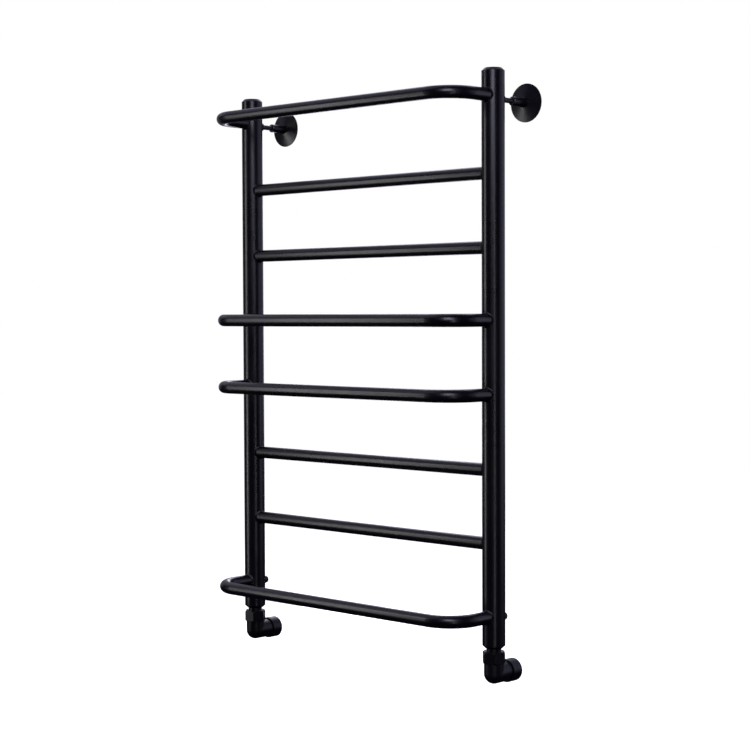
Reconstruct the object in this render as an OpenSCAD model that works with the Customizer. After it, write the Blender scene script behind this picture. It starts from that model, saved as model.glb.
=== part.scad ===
// Water-heated towel rail: a welded ladder of steel tubes that hangs on two telescopic
// wall brackets and takes its hot water through two swivel elbows at its feet.
// The origin is on the wall, midway between the two bracket screws; +X runs along the wall
// to the right, +Y into the wall and +Z up. "Reach" is a distance towards the wall from a
// post's axis.

/* [Posts] */
// Distance between the axes of the two posts
post_spacing = 500; // [300:10:900]
// Outside diameter of a post
post_d = 33; // [28:1:45]
// Wall thickness of a post
post_wall = 2; // [1.5:0.25:3]
// Height of a post's tube above the wall screws
post_head = 38.5; // [25:1:120]
// Length of a post's tube below the spare boss at its foot
post_foot = 38.5; // [25:1:120]
// Bevel around the cap on top of a post
cap_bevel = 4; // [1:0.5:8]
// Depth that caps and foot nipples reach into the tube
spigot_len = 6; // [3:0.5:12]

/* [Rungs] */
// Outside diameter of a rung
rung_d = 18.5; // [14:0.5:22]
// Wall thickness of a rung
rung_wall = 1.5; // [1:0.25:2]
// Height from one rung to the next
rung_pitch = 105; // [60:5:160]
// Height of the even pitch's top line above the wall screws
rung_rise = 1.5; // [0:0.5:10]
// Height of the bowed rungs above the even pitch
bow_lift = 2.5; // [0:0.5:10]
// Distance from the posts' axes out to the axis of a bowed rung's bar
bow_depth = 88; // [75:1:140]
// Radius of a bowed rung's bends, at the tube's axis
bow_radius = 45; // [30:1:55]

/* [Wall brackets] */
// Distance from the wall to the posts' axes
wall_gap = 75; // [70:1:95]
// Diameter of the bracket stud's plain shank
stud_d = 7.5; // [6:0.5:8]
// Thread diameter of the stud and of the blanking plug
boss_thread_d = 8; // [6:0.5:10]
// Length of the stud inside its guide bush at the middle setting
stud_grip = 20; // [16:0.5:24]
// Diameter of the boss that is welded into the back of a post
boss_d = 12.5; // [11:0.5:16]
// Height of the boss above the back of the post
boss_proud = 5.6; // [3:0.2:8]
// Depth of the boss inside the back of the post
boss_sunk = 7; // [4:0.5:8]
// Outside diameter of the sleeve on the wall
sleeve_d = 13; // [12:0.5:18]
// Wall thickness of the sleeve
sleeve_wall = 1.5; // [1:0.25:1.75]
// Length of the sleeve, from the wall to its mouth
sleeve_len = 33.5; // [32:0.5:40]
// Diameter of the flange at the sleeve's foot
sleeve_flange_d = 28; // [22:1:30]
// Thickness of that flange
sleeve_flange_t = 2; // [1.5:0.25:2.25]
// Diameter of the hole for the wall screw
wall_screw_hole_d = 5.5; // [4:0.5:6.5]
// Length of the nylon guide bush in the sleeve
bush_len = 18; // [14:0.5:20]
// Diameter of the grub screw that locks the stud
grub_d = 4; // [3:0.5:5]
// Distance of the grub screw from the sleeve's mouth
grub_inset = 7.5; // [5:0.5:10]
// Height angle of the left bracket's grub screw, from the right-hand side
grub_angle_left = 35; // [-90:1:90]
// Height angle of the right bracket's grub screw
grub_angle_right = -24; // [-90:1:90]
// Diameter of the cone that covers the sleeve's foot
cone_d = 55.5; // [44:1:80]
// Height of the cone
cone_h = 6; // [5.5:0.5:10]
// Width of the straight rim around the cone
cone_rim = 1; // [0.5:0.25:2]
// Sheet thickness of the cone
cone_sheet = 0.8; // [0.6:0.1:1]

/* [Blanking plugs] */
// Diameter of a blanking plug's head
plug_head_d = 11; // [10:0.5:14]
// Height of that head
plug_head_h = 2.6; // [2:0.2:5]
// Thickness of the washer under the head
plug_washer_t = 0.8; // [0.5:0.1:1.5]
// Width across the flats of the plug's key socket
plug_key_af = 5; // [3:0.5:6]

/* [Water unions] */
// Thread diameter at the post's foot, G1/2
foot_thread_d = 20.955; // [16:0.1:24]
// Height of the tapered shoulder under a post
shoulder_h = 4.5; // [3:0.5:10]
// Bare thread between that shoulder and the union nut
neck_gap = 3.8; // [2:0.1:10]
// Wall of the nipple under its thread, which leaves the water way
nipple_wall = 4; // [3:0.25:5]
// Wall of the union nut at the middle of a flat
nut_wall = 4.5; // [2.5:0.25:6]
// Height of the union nut
nut_h = 18.2; // [15:0.1:26]
// Thickness of the nut's lip, which holds the elbow's tail
nut_lip = 3; // [2:0.5:4]
// Turn of the left nut, as the angle of one corner
nut_turn_left = 6; // [-30:1:30]
// Turn of the right nut
nut_turn_right = 17; // [-30:1:30]
// Thickness of the union's flat washer
union_washer_t = 2; // [1:0.5:3]
// Thickness of the flange on the elbow's tail
tail_flange_t = 2.4; // [1.5:0.1:4]
// Wall of the elbow's tail inside the nut's lip
tail_wall = 1.7; // [1.2:0.1:2.2]

/* [Elbows] */
// Outside diameter of the elbow's body
elbow_d = 28.4; // [24:0.2:36]
// Reach of the elbow's branch
elbow_reach = 25.6; // [20:0.2:50]
// Wall of the inlet collar around its inside thread
collar_wall = 4.4; // [3:0.1:7]
// Length of the inlet collar
collar_len = 19; // [14:0.5:24]
// Rounding of the collar's far edge
collar_round = 2.2; // [0.5:0.1:3]
// Gap between the elbow's branch and the collar
collar_gap = 0.8; // [0.4:0.1:2]
// Thickness of the collar's lip
collar_lip = 3; // [2:0.5:4]
// Bore of the collar's G3/4 inside thread
inlet_thread_d = 24.12; // [20:0.1:25]
// Width of the flange on the spout, outside the spout's tube
spout_flange_w = 1.3; // [1:0.1:2]
// Thickness of the flange on the spout
spout_flange_t = 2.4; // [1.5:0.1:3]
// Thickness of the inlet's flat washer
inlet_washer_t = 2; // [1:0.5:3]

/* [Hidden] */
SIDES = [-1, 1];
// Whether each rung, from the top down, bows forward
RUNG_BOWS = [true, false, false, true, true, false, false, true];
RUNG_COUNT = len(RUNG_BOWS);
SIDE_PARTS = [
    "post", "top_cap", "foot_nipple", "bracket_boss", "spare_boss", "plug_washer",
    "blanking_plug", "stud", "sleeve", "guide_bush", "grub_screw", "escutcheon",
    "union_nut", "union_washer", "elbow", "inlet_washer", "inlet_collar"
];
$fn = 64;

// Clearances: welded or pressed, turning or sliding on a bearing face, and free
seat_gap = 0.05;
bearing_gap = 0.06;
face_gap = 0.1;
free_gap = 0.3;
// Overrun of a cutting tool past the face it cuts
cut = 1;

post_r = post_d / 2;
post_bore_d = post_d - 2 * post_wall;
rung_bore_d = rung_d - 2 * rung_wall;
// Heights of the brackets' bosses and of the spare ones, on the wall screws' zero
bracket_z = 0;
spare_z = rung_rise - rung_pitch * (RUNG_COUNT - 1);
post_top = post_head;
post_base = spare_z - post_foot;

boss_reach = post_r + boss_proud;
boss_floor = 2;
edge_bevel = 1;
sleeve_bore_d = sleeve_d - 2 * sleeve_wall;
sleeve_mouth = wall_gap - sleeve_len;
sleeve_floor = 3;
bush_recess = 0.8;
bush_start = sleeve_mouth + bush_recess;
stud_end = bush_start + stud_grip;
grub_reach = sleeve_mouth + grub_inset;
grub_recess = 0.3;
grub_key_af = 2;
grub_key_depth = 1.2;
plug_round = 1.8;
plug_shank = 6;
plug_key_depth = 2;

water_way_d = foot_thread_d - 2 * nipple_wall;
nut_top = post_base - shoulder_h - neck_gap;
nut_base = nut_top - nut_h;
nut_af = foot_thread_d + 2 * nut_wall;
tail_d = water_way_d + 2 * tail_wall;
nut_bevel_r = 0.49 * nut_af;
nut_corner_r = nut_af / 2 / cos(30);
nut_bevel_h = nut_corner_r - nut_bevel_r;
union_flange_d = foot_thread_d - 1.2;
tail_flange_base = nut_base + nut_lip + face_gap;
union_washer_base = tail_flange_base + tail_flange_t;
foot_thread_base = union_washer_base + union_washer_t;
elbow_top = nut_base - 0.4;
elbow_axis = elbow_top - elbow_d / 2;
shoulder_foot_d = foot_thread_d + 2;

collar_start = elbow_reach + collar_gap;
collar_end = collar_start + collar_len;
spout_flange_start = collar_start + collar_lip + face_gap;
spout_end = spout_flange_start + spout_flange_t;
inlet_relief_end = spout_end + inlet_washer_t;
inlet_relief_d = inlet_thread_d + 1.2;
collar_d = inlet_thread_d + 2 * collar_wall;
spout_flange_d = inlet_thread_d - 0.7;
spout_d = spout_flange_d - 2 * spout_flange_w;

COAT = "#1b1a1f";
FITTING = "#212026";
STEEL = "#3a3a3e";
NYLON = "#101012";
RUBBER = "#0b0b0c";

function hand(side) = side < 0 ? "left" : "right";
function rung_z(i) = rung_rise - rung_pitch * (i - 1) + (RUNG_BOWS[i - 1] ? bow_lift : 0);
function nut_turn(side) = side < 0 ? nut_turn_left : nut_turn_right;
function grub_angle(side) = side < 0 ? grub_angle_left : grub_angle_right;

// ---- Placing ----

// Puts children on the axis of one post, with z still measured from the wall screws
module at_post(side) {
    translate([side * post_spacing / 2, -wall_gap, 0]) children();
}

// Turns a shape that is drawn along z so that it runs from a post's axis to the wall
module reach_out(side, z) {
    at_post(side) translate([0, 0, z]) rotate([-90, 0, 0]) children();
}

// ---- Shapes that repeat ----

// A tube or a rod between two heights
module tube(d, from, to, bore = 0) {
    difference() {
        translate([0, 0, from]) cylinder(d = d, h = to - from);
        if (bore > 0) translate([0, 0, from - cut]) cylinder(d = bore, h = to - from + 2 * cut);
    }
}

// A cylinder whose far end is bevelled
module bevelled_rod(d, from, to, bevel) {
    translate([0, 0, from]) cylinder(d = d, h = to - from - bevel);
    translate([0, 0, to - bevel]) cylinder(d1 = d, d2 = d - 2 * bevel, h = bevel);
}

// A cylinder whose far edge is rounded
module rounded_rod(d, from, to, edge) {
    translate([0, 0, from]) rotate_extrude() intersection() {
        square([d / 2, to - from]);
        union() {
            square([d / 2 - edge, to - from]);
            square([d / 2, to - from - edge]);
            translate([d / 2 - edge, to - from - edge]) circle(r = edge);
        }
    }
}

// A socket for a hexagon key, sunk from a height downwards
module key_socket(af, top, depth) {
    translate([0, 0, top - depth]) cylinder(d = af / cos(30), h = depth + cut, $fn = 6);
}

// The bowed run of a rung: two legs, two bends and the bar in front
module bowed_run(d) {
    bend_x = post_spacing / 2 - bow_radius;
    bend_y = bow_radius - bow_depth;
    for (side = SIDES) {
        translate([side * post_spacing / 2, 0, 0]) rotate([90, 0, 0]) cylinder(d = d, h = -bend_y);
        translate([side * bend_x, bend_y, 0]) rotate([0, 0, side < 0 ? 180 : -90])
            rotate_extrude(angle = 90) translate([bow_radius, 0]) circle(d = d);
    }
    translate([-bend_x, -bow_depth, 0]) rotate([0, 90, 0]) cylinder(d = d, h = 2 * bend_x);
}

// The straight run of a rung, from one post's axis to the other's
module straight_run(d) {
    translate([-post_spacing / 2, 0, 0]) rotate([0, 90, 0]) cylinder(d = d, h = post_spacing);
}

// ---- Welded ladder ----

module post(side) {
    color(COAT) at_post(side) difference() {
        tube(post_d, post_base, post_top, post_bore_d);
        for (i = [1 : RUNG_COUNT]) translate([0, 0, rung_z(i)])
            rotate(RUNG_BOWS[i - 1] ? [90, 0, 0] : [0, -90 * side, 0])
                cylinder(d = rung_bore_d, h = post_r + cut);
        for (z = [bracket_z, spare_z]) translate([0, 0, z]) rotate([-90, 0, 0])
            cylinder(d = boss_d + 2 * seat_gap, h = post_r + cut);
    }
}

module top_cap(side) {
    color(COAT) at_post(side) {
        tube(post_bore_d - 2 * seat_gap, post_top - spigot_len, post_top);
        translate([0, 0, post_top])
            cylinder(d1 = post_d, d2 = post_d - 2 * cap_bevel, h = cap_bevel);
    }
}

// The turned foot of a post: a spigot in the tube, a tapered shoulder and an outside thread
module foot_nipple(side) {
    color(COAT) at_post(side) difference() {
        union() {
            tube(post_bore_d - 2 * seat_gap, post_base, post_base + spigot_len);
            translate([0, 0, post_base - shoulder_h])
                cylinder(d1 = shoulder_foot_d, d2 = post_d, h = shoulder_h);
            tube(foot_thread_d, foot_thread_base, post_base - shoulder_h);
        }
        translate([0, 0, foot_thread_base - cut])
            cylinder(d = water_way_d, h = post_base + spigot_len - foot_thread_base + 2 * cut);
    }
}

module rung(i) {
    bows = RUNG_BOWS[i - 1];
    color(COAT) translate([0, -wall_gap, rung_z(i)]) difference() {
        if (bows) bowed_run(rung_d); else straight_run(rung_d);
        if (bows) bowed_run(rung_bore_d); else straight_run(rung_bore_d);
        for (side = SIDES) translate([side * post_spacing / 2, 0, -rung_d])
            cylinder(d = post_d, h = 2 * rung_d);
    }
}

// A threaded boss set into the back of a post; the spare one's thread runs through to the water
module boss(side, z, through) {
    start = post_r - boss_sunk;
    color(COAT) reach_out(side, z) difference() {
        bevelled_rod(boss_d, start, boss_reach, edge_bevel);
        translate([0, 0, through ? start - cut : start + boss_floor])
            cylinder(d = boss_thread_d, h = boss_reach);
    }
}

// ---- Blanking plug in each spare boss ----

module plug_washer(side) {
    color(RUBBER) reach_out(side, spare_z)
        tube(plug_head_d - 1, boss_reach, boss_reach + plug_washer_t, boss_thread_d + 2 * seat_gap);
}

module blanking_plug(side) {
    head_base = boss_reach + plug_washer_t;
    head_top = head_base + plug_head_h;
    color(FITTING) reach_out(side, spare_z) difference() {
        union() {
            tube(boss_thread_d - 2 * seat_gap, head_base - plug_shank, head_base);
            rounded_rod(plug_head_d, head_base, head_top, plug_round);
        }
        key_socket(plug_key_af, head_top, plug_key_depth);
    }
}

// ---- Telescopic wall brackets ----

// The rod that screws into a post's boss and slides in the sleeve
module stud(side) {
    thread_start = post_r - boss_sunk + boss_floor + free_gap;
    color(COAT) reach_out(side, bracket_z) {
        tube(boss_thread_d - 2 * seat_gap, thread_start, boss_reach);
        bevelled_rod(stud_d, boss_reach, stud_end, edge_bevel);
    }
}

module sleeve(side) {
    color(COAT) reach_out(side, bracket_z) difference() {
        union() {
            translate([0, 0, sleeve_mouth])
                cylinder(d1 = sleeve_d - 2 * edge_bevel, d2 = sleeve_d, h = edge_bevel);
            tube(sleeve_d, sleeve_mouth + edge_bevel, wall_gap);
            tube(sleeve_flange_d, wall_gap - sleeve_flange_t, wall_gap);
        }
        translate([0, 0, sleeve_mouth - cut])
            cylinder(d = sleeve_bore_d, h = sleeve_len - sleeve_floor + cut);
        cylinder(d = wall_screw_hole_d, h = wall_gap + cut);
        grub_hole(side);
    }
}

module guide_bush(side) {
    color(NYLON) reach_out(side, bracket_z) difference() {
        tube(sleeve_bore_d - 2 * seat_gap, bush_start, bush_start + bush_len,
            stud_d + 2 * bearing_gap);
        grub_hole(side);
    }
}

// The radial hole for the grub screw, in the bracket's own frame
module grub_hole(side) {
    rotate([0, 0, -grub_angle(side)]) translate([0, 0, grub_reach]) rotate([0, 90, 0])
        cylinder(d = grub_d + 2 * seat_gap, h = sleeve_d);
}

module grub_screw(side) {
    tip = stud_d / 2 + bearing_gap;
    head = sleeve_d / 2 - grub_recess;
    color(STEEL) reach_out(side, bracket_z) rotate([0, 0, -grub_angle(side)])
        translate([0, 0, grub_reach]) rotate([0, 90, 0]) difference() {
            tube(grub_d, tip, head);
            key_socket(grub_key_af, head, grub_key_depth);
        }
}

// The pressed cone that hides the sleeve's foot; it slides on the sleeve
module escutcheon(side) {
    hole_r = sleeve_d / 2 + free_gap;
    hub_r = hole_r + cone_sheet;
    rim_r = cone_d / 2;
    color(COAT) reach_out(side, bracket_z) rotate_extrude() polygon([
        [hole_r, wall_gap - cone_h],
        [hub_r, wall_gap - cone_h],
        [rim_r, wall_gap - cone_rim],
        [rim_r, wall_gap],
        [rim_r - cone_sheet, wall_gap],
        [rim_r - cone_sheet, wall_gap - cone_rim + cone_sheet / 2],
        [hub_r, wall_gap - cone_h + cone_sheet],
        [hole_r, wall_gap - cone_h + cone_sheet]
    ]);
}

// ---- Water unions at the feet ----

module union_nut(side) {
    lip_hole_d = tail_d + 2 * bearing_gap;
    color(FITTING) at_post(side) difference() {
        rotate([0, 0, nut_turn(side)]) translate([0, 0, nut_base]) intersection() {
            cylinder(r = nut_corner_r, h = nut_h, $fn = 6);
            rotate_extrude() polygon([
                [0, 0],
                [nut_bevel_r, 0],
                [nut_corner_r + seat_gap, nut_bevel_h],
                [nut_corner_r + seat_gap, nut_h - nut_bevel_h],
                [nut_bevel_r, nut_h],
                [0, nut_h]
            ]);
        }
        translate([0, 0, nut_base + nut_lip])
            cylinder(d = foot_thread_d + 2 * bearing_gap, h = nut_h);
        translate([0, 0, nut_base - cut]) cylinder(d = lip_hole_d, h = nut_h);
    }
}

module union_washer(side) {
    color(RUBBER) at_post(side)
        tube(union_flange_d, union_washer_base, foot_thread_base, water_way_d);
}

// The swivel elbow: a tail held by the nut, the body, and a spout that holds the collar
module elbow(side) {
    color(FITTING) difference() {
        union() {
            at_post(side) {
                tube(union_flange_d, tail_flange_base, union_washer_base);
                tube(tail_d, elbow_top, tail_flange_base);
                tube(elbow_d, elbow_axis, elbow_top);
                translate([0, 0, elbow_axis]) sphere(d = elbow_d);
            }
            reach_out(side, elbow_axis) {
                tube(elbow_d, 0, elbow_reach);
                tube(spout_d, elbow_reach, spout_flange_start);
                tube(spout_flange_d, spout_flange_start, spout_end);
            }
        }
        at_post(side) tube(water_way_d, elbow_axis, union_washer_base + cut);
        at_post(side) translate([0, 0, elbow_axis]) sphere(d = water_way_d);
        reach_out(side, elbow_axis) tube(water_way_d, 0, spout_end + cut);
    }
}

module inlet_washer(side) {
    color(RUBBER) reach_out(side, elbow_axis)
        tube(spout_flange_d, spout_end, inlet_relief_end, water_way_d);
}

// The loose collar on the elbow's spout, with the inside thread for the supply pipe
module inlet_collar(side) {
    color(FITTING) reach_out(side, elbow_axis) difference() {
        rounded_rod(collar_d, collar_start, collar_end, collar_round);
        translate([0, 0, collar_start - cut])
            cylinder(d = spout_d + 2 * bearing_gap, h = collar_len + 2 * cut);
        tube(inlet_relief_d, collar_start + collar_lip, inlet_relief_end);
        tube(inlet_thread_d, inlet_relief_end, collar_end + cut);
    }
}

for (side = SIDES) {
    post(side);
    top_cap(side);
    foot_nipple(side);
    boss(side, bracket_z, false);
    boss(side, spare_z, true);
    plug_washer(side);
    blanking_plug(side);
    stud(side);
    sleeve(side);
    guide_bush(side);
    grub_screw(side);
    escutcheon(side);
    union_nut(side);
    union_washer(side);
    elbow(side);
    inlet_washer(side);
    inlet_collar(side);
}
for (i = [1 : RUNG_COUNT]) {
    rung(i);
}
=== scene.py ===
"""Looks of the water-heated towel rail: satin black paint, weld seams, light and camera."""
import math

import bpy
from mathutils import Matrix, Vector


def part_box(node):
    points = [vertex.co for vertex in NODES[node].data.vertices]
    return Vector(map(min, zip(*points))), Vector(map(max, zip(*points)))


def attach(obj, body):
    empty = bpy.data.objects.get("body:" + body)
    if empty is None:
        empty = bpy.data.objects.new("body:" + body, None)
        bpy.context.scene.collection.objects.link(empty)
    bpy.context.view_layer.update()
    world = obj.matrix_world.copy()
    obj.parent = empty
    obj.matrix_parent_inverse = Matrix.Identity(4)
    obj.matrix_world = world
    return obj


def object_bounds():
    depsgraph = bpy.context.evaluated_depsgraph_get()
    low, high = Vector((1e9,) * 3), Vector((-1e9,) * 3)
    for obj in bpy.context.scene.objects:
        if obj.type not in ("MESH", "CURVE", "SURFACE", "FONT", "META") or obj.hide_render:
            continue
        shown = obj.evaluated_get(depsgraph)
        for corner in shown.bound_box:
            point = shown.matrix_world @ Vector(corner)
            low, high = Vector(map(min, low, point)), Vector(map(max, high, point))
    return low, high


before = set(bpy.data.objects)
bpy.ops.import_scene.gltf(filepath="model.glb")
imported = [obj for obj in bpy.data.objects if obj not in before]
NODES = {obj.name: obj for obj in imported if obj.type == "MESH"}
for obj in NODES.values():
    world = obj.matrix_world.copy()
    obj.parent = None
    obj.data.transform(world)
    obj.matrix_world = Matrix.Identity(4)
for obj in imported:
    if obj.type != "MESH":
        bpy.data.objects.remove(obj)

cad_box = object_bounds()

MM = 0.001
SIDES = {"left": -1, "right": 1}
RUNGS = [f"rung_{i}" for i in range(1, 9)]
FORWARD = Vector((0, -1, 0))
TO_WALL = Vector((0, 1, 0))
UP = Vector((0, 0, 1))


# ---- Measures taken from the frame ----

def centre(node):
    low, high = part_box(node)
    return (low + high) / 2


def size(node):
    low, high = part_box(node)
    return high - low


post_r = size("left_post").x / 2
rung_r = size("rung_2").z / 2
boss_r = size("left_bracket_boss").x / 2
low_corner, high_corner = cad_box
rail_middle = (low_corner + high_corner) / 2


# ---- Camera, fitted to the photograph's posts, rungs and cones ----

CAMERA_AZIMUTH = math.radians(43.462)
CAMERA_PITCH = math.radians(2.0907)   # looking down
CAMERA_ROLL = math.radians(0.2277)
CAMERA_PLACE = Vector((1.7773, -1.9297, -0.3003))
CAMERA_CLIP = (0.05, 50)
LENS = 81.55
SENSOR = 36.0


def make_camera():
    a, p, r = CAMERA_AZIMUTH, CAMERA_PITCH, CAMERA_ROLL
    ahead = Vector((-math.sin(a) * math.cos(p), math.cos(a) * math.cos(p), -math.sin(p)))
    right = Vector((math.cos(a), math.sin(a), 0))
    down = ahead.cross(right)
    image_x = math.cos(r) * right + math.sin(r) * down
    image_y = math.sin(r) * right - math.cos(r) * down
    data = bpy.data.cameras.new("camera")
    data.lens, data.sensor_width = LENS, SENSOR
    data.clip_start, data.clip_end = CAMERA_CLIP
    camera = bpy.data.objects.new("camera", data)
    camera.matrix_world = Matrix.Translation(CAMERA_PLACE) @ Matrix(
        (image_x, image_y, -ahead)).transposed().to_4x4()
    bpy.context.scene.collection.objects.link(camera)
    bpy.context.scene.camera = camera


# ---- Node helpers ----

# The Mix node repeats its socket names for each data type, so its colours go by number
MIX_SHARE, MIX_ONE, MIX_OTHER, MIX_RESULT = 0, 6, 7, 2


class Nodes:
    """Builds a node tree with one call for each node."""

    def __init__(self, tree):
        self.tree = tree
        tree.nodes.clear()

    def add(self, kind, inputs=None, **settings):
        """A node with these settings. An input is linked to a socket, or set to a value."""
        node = self.tree.nodes.new(kind)
        for key, value in settings.items():
            setattr(node, key, value)
        for key, value in (inputs or {}).items():
            if isinstance(value, bpy.types.NodeSocket):
                self.tree.links.new(value, node.inputs[key])
            else:
                node.inputs[key].default_value = value
        return node

    def place(self):
        return self.add("ShaderNodeTexCoord").outputs["Object"]

    def noise(self, where, scale, detail, roughness=0.5):
        return self.add("ShaderNodeTexNoise", {
            "Vector": where, "Scale": scale, "Detail": detail, "Roughness": roughness,
        }).outputs["Fac"]

    def ramp(self, value, low, high, to_low=0.0, to_high=1.0):
        return self.add("ShaderNodeMapRange", {
            "Value": value, "From Min": low, "From Max": high,
            "To Min": to_low, "To Max": to_high,
        }).outputs["Result"]

    def blend(self, share, one, other):
        inputs = {MIX_SHARE: share, MIX_ONE: one, MIX_OTHER: other}
        return self.add("ShaderNodeMix", inputs, data_type="RGBA").outputs[MIX_RESULT]

    def math(self, operation, one, other):
        return self.add("ShaderNodeMath", {0: one, 1: other}, operation=operation).outputs[0]

    def bump(self, height, strength, depth, normal=None):
        inputs = {"Height": height, "Strength": strength, "Distance": depth}
        if normal is not None:
            inputs["Normal"] = normal
        return self.add("ShaderNodeBump", inputs).outputs["Normal"]

    def surface(self, inputs):
        shader = self.add("ShaderNodeBsdfPrincipled", inputs)
        self.add("ShaderNodeOutputMaterial", {"Surface": shader.outputs["BSDF"]})


def blank_material(name):
    """A new material, and the builder of its nodes."""
    material = bpy.data.materials.new(name)
    material.use_nodes = True
    return material, Nodes(material.node_tree)


# ---- Materials ----

def grey(value, tint=(1.0, 1.0, 1.0)):
    return tuple(value * t for t in tint) + (1.0,)


PLUM = (1.0, 0.80, 1.9)       # the faint violet of the black paint
WARM = (1.12, 1.0, 0.9)
EVEN = (0.3, 0.7)             # the part of a noise's range that holds nearly all of it
FIRM = (0.35, 0.65)           # a narrower part, for clearer patches

# Paint
DRIFT_SCALE = 14              # scales are in features per metre
CLOUD_SCALE = 95
GRIT_MM = 0.28
PEEL_DEPTH = 0.10 * MM
GRIT_DEPTH = 0.03 * MM
EDGE_SAMPLES = 4
EDGE_START, EDGE_FULL = 0.995, 0.90   # how alike the rounded and the true normal are
EDGE_PATCHES = (0.40, 0.62, 0.35, 1.0)   # the wear thins out to 0.35 between its patches
DARKER, LIGHTER, WORN = 0.85, 1.25, 3.2   # shares of the base grey
DRIFT_ROUGH = (-0.02, 0.03)   # changes of roughness
CLOUD_ROUGH = (-0.015, 0.02)
EDGE_POLISH = 0.06

# Grub screws
TURNING_SCALE = 2600
STEEL_CLOUD_SCALE = 420
TURNING_DEPTH = 0.03 * MM
STEEL_DARK, STEEL_LIGHT = 0.05, 0.13
STEEL_ROUGH = (0.28, 0.46)

# Nylon and rubber
SOFT_CLOUD_SCALE = 160
SOFT_LIGHTER = 1.6
SOFT_ROUGH_SPREAD = 0.06
GRAIN_DEPTH = 0.05 * MM


def painted(name, base=0.0026, rough=0.29, peel_mm=1.6, peel=0.012, grit=0.012, edge_mm=0.35,
            specular=0.5):
    """Satin black paint: a slow drift of gloss, orange peel, fine grit and brighter worn edges."""
    material, n = blank_material(name)
    where = n.place()
    drift = n.noise(where, DRIFT_SCALE, detail=3)
    cloud = n.noise(where, CLOUD_SCALE, detail=4)
    peel_noise = n.noise(where, 1 / (peel_mm * MM), detail=2)
    grit_noise = n.noise(where, 1 / (GRIT_MM * MM), detail=3, roughness=0.6)
    # Edges: where a rounded normal leaves the true one, the paint is thin and polished
    rounded = n.add("ShaderNodeBevel", {"Radius": edge_mm * MM},
                    samples=EDGE_SAMPLES).outputs["Normal"]
    true = n.add("ShaderNodeNewGeometry").outputs["Normal"]
    alike = n.add("ShaderNodeVectorMath", {0: rounded, 1: true},
                  operation="DOT_PRODUCT").outputs["Value"]
    edge = n.math("MULTIPLY", n.ramp(alike, EDGE_START, EDGE_FULL),
                  n.ramp(cloud, *EDGE_PATCHES))
    body = n.blend(n.ramp(drift, *FIRM), grey(base * DARKER, PLUM), grey(base * LIGHTER, PLUM))
    colour = n.blend(edge, body, grey(base * WORN, WARM))
    roughness = n.ramp(drift, *EVEN, *(rough + change for change in DRIFT_ROUGH))
    roughness = n.math("ADD", roughness, n.ramp(cloud, *EVEN, *CLOUD_ROUGH))
    roughness = n.math("SUBTRACT", roughness, n.math("MULTIPLY", edge, EDGE_POLISH))
    peeled = n.bump(peel_noise, peel, PEEL_DEPTH, rounded)
    n.surface({
        "Base Color": colour, "Roughness": roughness, "IOR": 1.5,
        "Specular IOR Level": specular, "Normal": n.bump(grit_noise, grit, GRIT_DEPTH, peeled)})
    return material


def turned_steel(name):
    """Blackened steel with fine turning marks, for the grub screws."""
    material, n = blank_material(name)
    where = n.place()
    marks = n.noise(where, TURNING_SCALE, detail=3, roughness=0.7)
    cloud = n.noise(where, STEEL_CLOUD_SCALE, detail=3)
    n.surface({
        "Base Color": n.blend(n.ramp(cloud, *FIRM), grey(STEEL_DARK), grey(STEEL_LIGHT, WARM)),
        "Metallic": 0.85, "Roughness": n.ramp(marks, *EVEN, *STEEL_ROUGH),
        "Normal": n.bump(marks, 0.25, TURNING_DEPTH)})
    return material


def soft_black(name, base, rough, grain_mm, grain_strength):
    """Moulded nylon or rubber: matt, with a fine moulding grain."""
    material, n = blank_material(name)
    where = n.place()
    grain = n.noise(where, 1 / (grain_mm * MM), detail=4, roughness=0.6)
    cloud = n.noise(where, SOFT_CLOUD_SCALE, detail=3)
    n.surface({
        "Base Color": n.blend(n.ramp(cloud, *EVEN), grey(base), grey(base * SOFT_LIGHTER)),
        "Roughness": n.ramp(grain, *EVEN, rough - SOFT_ROUGH_SPREAD, rough + SOFT_ROUGH_SPREAD),
        "IOR": 1.48, "Normal": n.bump(grain, grain_strength, GRAIN_DEPTH)})
    return material


def dress_nodes():
    """Gives every CAD node its material, by what the piece is, and returns the tubes' paint."""
    tube = painted("tube_paint")
    pressed = painted("pressed_paint", rough=0.30, peel_mm=1.2, peel=0.02)
    cast = painted("cast_paint", rough=0.36, peel_mm=0.9, peel=0.06, grit=0.08, edge_mm=0.7,
                   specular=0.40)
    rod = painted("rod_paint", base=0.0095, rough=0.40, peel_mm=1.0)
    steel = turned_steel("grub_steel")
    nylon = soft_black("black_nylon", base=0.012, rough=0.5, grain_mm=0.25, grain_strength=0.2)
    rubber = soft_black("black_rubber", base=0.014, rough=0.7, grain_mm=0.35,
                        grain_strength=0.35)
    by_part = {
        "escutcheon": pressed, "stud": rod, "grub_screw": steel, "guide_bush": nylon,
        "plug_washer": rubber, "union_washer": rubber, "inlet_washer": rubber,
        "union_nut": cast, "elbow": cast, "inlet_collar": cast, "blanking_plug": cast,
    }
    for name, node in NODES.items():
        part = name.split("_", 1)[1]
        node.data.materials.clear()
        node.data.materials.append(by_part.get(part, tube))
    return tube


# ---- Weld seams ----

WELD_STEPS = 160              # sections round a seam
WELD_ARC = 6                  # steps across a seam
WELD_SINK = 0.15 * MM         # how far its toes lie inside the tubes
WELD_ROOT = 3 * WELD_SINK     # how far its hidden root does
WELD_RIPPLE = 0.10            # as a share of the leg
WELD_WANDER = 0.05            # slow change of the leg round the seam
WELD_FULLNESS = 0.42          # how far the face's control point is from the corner
RUNG_WELD = {"leg": 2.2 * MM, "ripples": 38}
BOSS_WELD = {"leg": 1.6 * MM, "ripples": 26}


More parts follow.
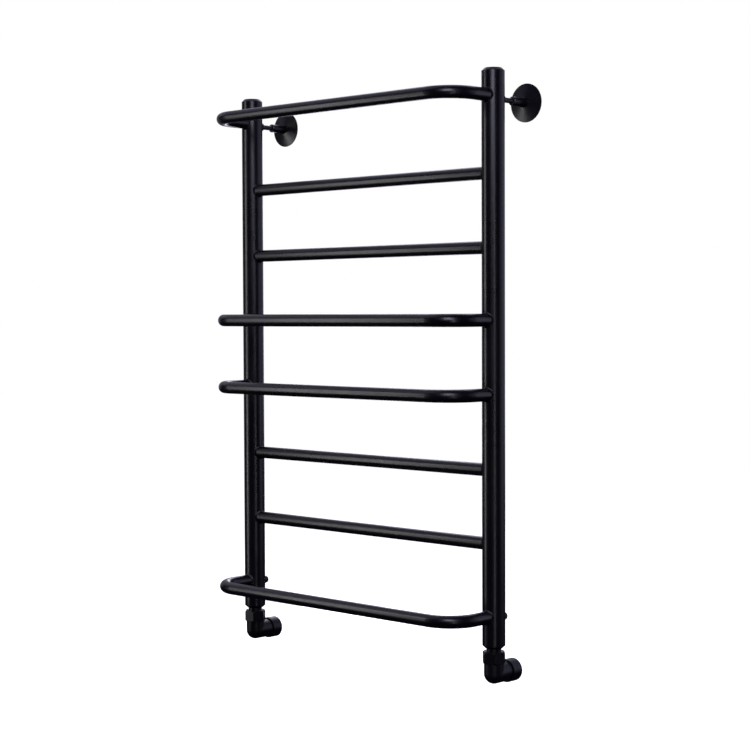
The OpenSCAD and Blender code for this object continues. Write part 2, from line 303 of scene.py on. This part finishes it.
def weld(name, post_axis, along, branch_r, material, leg, ripples):
    """The fillet weld round a branch of radius branch_r that leaves a post at right angles.
    post_axis is the point where the two axes cross and along is the branch's direction."""
    side = along.cross(UP)
    verts, faces = [], []

    def on_post(radius, c, s, depth=0.0):
        """The point of the post's skin, or of a depth below it, at this radius and angle."""
        r = post_r - depth
        out = math.sqrt(r * r - (radius * c) ** 2)
        return along * out + side * radius * c + UP * radius * s

    for k in range(WELD_STEPS):
        turn = 2 * math.pi * k / WELD_STEPS
        c, s = math.cos(turn), math.sin(turn)
        # Ripples that crowd and spread a little, as a hand leaves them
        wave = 1 + WELD_RIPPLE * math.cos(ripples * turn + 0.8 * math.sin(3 * turn))
        wave += WELD_WANDER * math.sin(2 * turn + 1.1)
        reach = leg * wave
        outward = side * c + UP * s
        corner = on_post(branch_r, c, s)
        toe_branch = corner + along * reach - outward * WELD_SINK
        toe_post = on_post(branch_r + reach, c, s, WELD_SINK)
        pull = (toe_branch + toe_post) / 2 - corner
        control = corner + pull * (WELD_FULLNESS + WELD_RIPPLE * math.cos(ripples * turn))
        for j in range(WELD_ARC + 1):
            t = j / WELD_ARC
            verts.append(post_axis + toe_branch * (1 - t) ** 2 + control * 2 * t * (1 - t)
                         + toe_post * t * t)
        verts.append(post_axis + on_post(branch_r - WELD_ROOT, c, s, WELD_ROOT))
    ring = WELD_ARC + 2
    for k in range(WELD_STEPS):
        here, there = k * ring, (k + 1) % WELD_STEPS * ring
        for j in range(ring):
            following = (j + 1) % ring
            faces.append((here + j, there + j, there + following, here + following))
    mesh = bpy.data.meshes.new(name)
    mesh.from_pydata([tuple(v) for v in verts], [], faces)
    mesh.polygons.foreach_set("use_smooth", [True] * len(faces))
    mesh.materials.append(material)
    mesh.update()
    piece = bpy.data.objects.new(name, mesh)
    bpy.context.scene.collection.objects.link(piece)
    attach(piece, "rail")


def weld_all(material):
    for hand, sign in SIDES.items():
        axis = centre(f"{hand}_post")
        for rung in RUNGS:
            bowed = size(rung).y > 4 * rung_r     # a straight one is only 2 deep
            along = FORWARD if bowed else Vector((-sign, 0, 0))
            cross = Vector((axis.x, axis.y, centre(rung).z))
            weld(f"weld_{rung}_{hand}", cross, along, rung_r, material, **RUNG_WELD)
        for boss in ("bracket_boss", "spare_boss"):
            cross = Vector((axis.x, axis.y, centre(f"{hand}_{boss}").z))
            weld(f"weld_{boss}_{hand}", cross, TO_WALL, boss_r, material, **BOSS_WELD)


# ---- Studio ----

WHITE = (1.0, 1.0, 1.0, 1.0)
AMBIENT = (0.95, 0.85, 1.3, 1.0)
AMBIENT_STRENGTH = 0.012
FLOOR_DROP = 0.25             # below the rail, which hangs on its wall
FLOOR_HALF = 12
FLOOR_GLOW = 1.0              # as bright as the background, so no horizon shows

# Name, place, aim, width, height, brightness of its face, colour
LIGHTS = (
    # The photograph's highlights: a strip on the left, a narrow one in front, a box above
    ("left_strip", (-1.010, -1.150, -0.31), rail_middle, 0.28, 1.28, 4.5, (1.01, 0.985, 1.02)),
    ("front_strip", (1.268, -0.903, -0.42), rail_middle, 0.10, 1.45, 3.4, (0.98, 0.96, 1.06)),
    ("front_top", (1.108, -1.324, 0.60), rail_middle, 0.74, 0.95, 5.0, (0.93, 0.92, 1.2)),
    # The dim room
    ("overhead", (-1.3, 0.3, 1.8), (-0.4, -0.1, -0.4), 5.0, 3.6, 0.44, (0.95, 0.95, 1.22)),
    ("right_wall", (2.2, 1.9, 0.1), rail_middle, 3.2, 2.4, 0.28, (0.9, 0.9, 1.3)),
    ("back_wall", (-0.5, 2.9, 0.5), rail_middle, 4.4, 2.6, 0.44, (0.9, 0.9, 1.25)),
    # The sides and the back
    ("back_strip", (-1.31, 1.31, -0.35), rail_middle, 0.40, 1.7, 3.0, (0.97, 0.96, 1.12)),
    ("back_right", (1.55, 1.25, -0.20), rail_middle, 0.22, 1.5, 1.2, (0.95, 0.95, 1.2)),
    ("back_top", (-0.95, 1.15, 1.15), rail_middle, 1.3, 0.7, 1.7, (0.95, 0.95, 1.15)),
    ("left_wall", (-2.6, 0.9, 0.2), rail_middle, 2.4, 2.2, 0.26, (0.95, 0.92, 1.1)),
)


def make_world():
    """White to the camera, and nearly dark to the rail."""
    world = bpy.data.worlds.new("studio")
    bpy.context.scene.world = world
    world.use_nodes = True
    n = Nodes(world.node_tree)
    seen = n.add("ShaderNodeBackground", {"Color": WHITE, "Strength": 1.0})
    around = n.add("ShaderNodeBackground", {"Color": AMBIENT, "Strength": AMBIENT_STRENGTH})
    ray = n.add("ShaderNodeLightPath").outputs["Is Camera Ray"]
    mixed = n.add("ShaderNodeMixShader", {0: ray, 1: around.outputs[0], 2: seen.outputs[0]})
    n.add("ShaderNodeOutputWorld", {"Surface": mixed.outputs[0]})


def make_floor():
    """A plain pale floor that neither lights the rail nor shows in its paint."""
    half, z = FLOOR_HALF, low_corner.z - FLOOR_DROP
    mesh = bpy.data.meshes.new("floor")
    mesh.from_pydata([(-half, -half, z), (half, -half, z), (half, half, z), (-half, half, z)],
                     [], [(0, 1, 2, 3)])
    material, n = blank_material("floor")
    n.surface({
        "Base Color": grey(0.85), "Roughness": 0.8, "Emission Color": WHITE,
        "Emission Strength": FLOOR_GLOW})
    mesh.materials.append(material)
    floor = bpy.data.objects.new("floor", mesh)
    floor.visible_glossy = False
    floor.visible_diffuse = False
    bpy.context.scene.collection.objects.link(floor)


def softbox(name, place, aim, width, height, brightness, colour):
    """A soft light with a given brightness of its face, turned from place to aim."""
    data = bpy.data.lights.new(name, "AREA")
    data.shape = "RECTANGLE"
    data.size, data.size_y = width, height
    data.energy = brightness * width * height * math.pi
    data.color = colour
    light = bpy.data.objects.new(name, data)
    light.location = place
    light.rotation_mode = "QUATERNION"
    light.rotation_quaternion = (Vector(aim) - Vector(place)).to_track_quat("-Z", "Y")
    light.visible_camera = False
    bpy.context.scene.collection.objects.link(light)


make_camera()
make_world()
make_floor()
for row in LIGHTS:
    softbox(*row)
tube_paint = dress_nodes()
weld_all(tube_paint)
bpy.context.scene.view_settings.view_transform = "Standard"
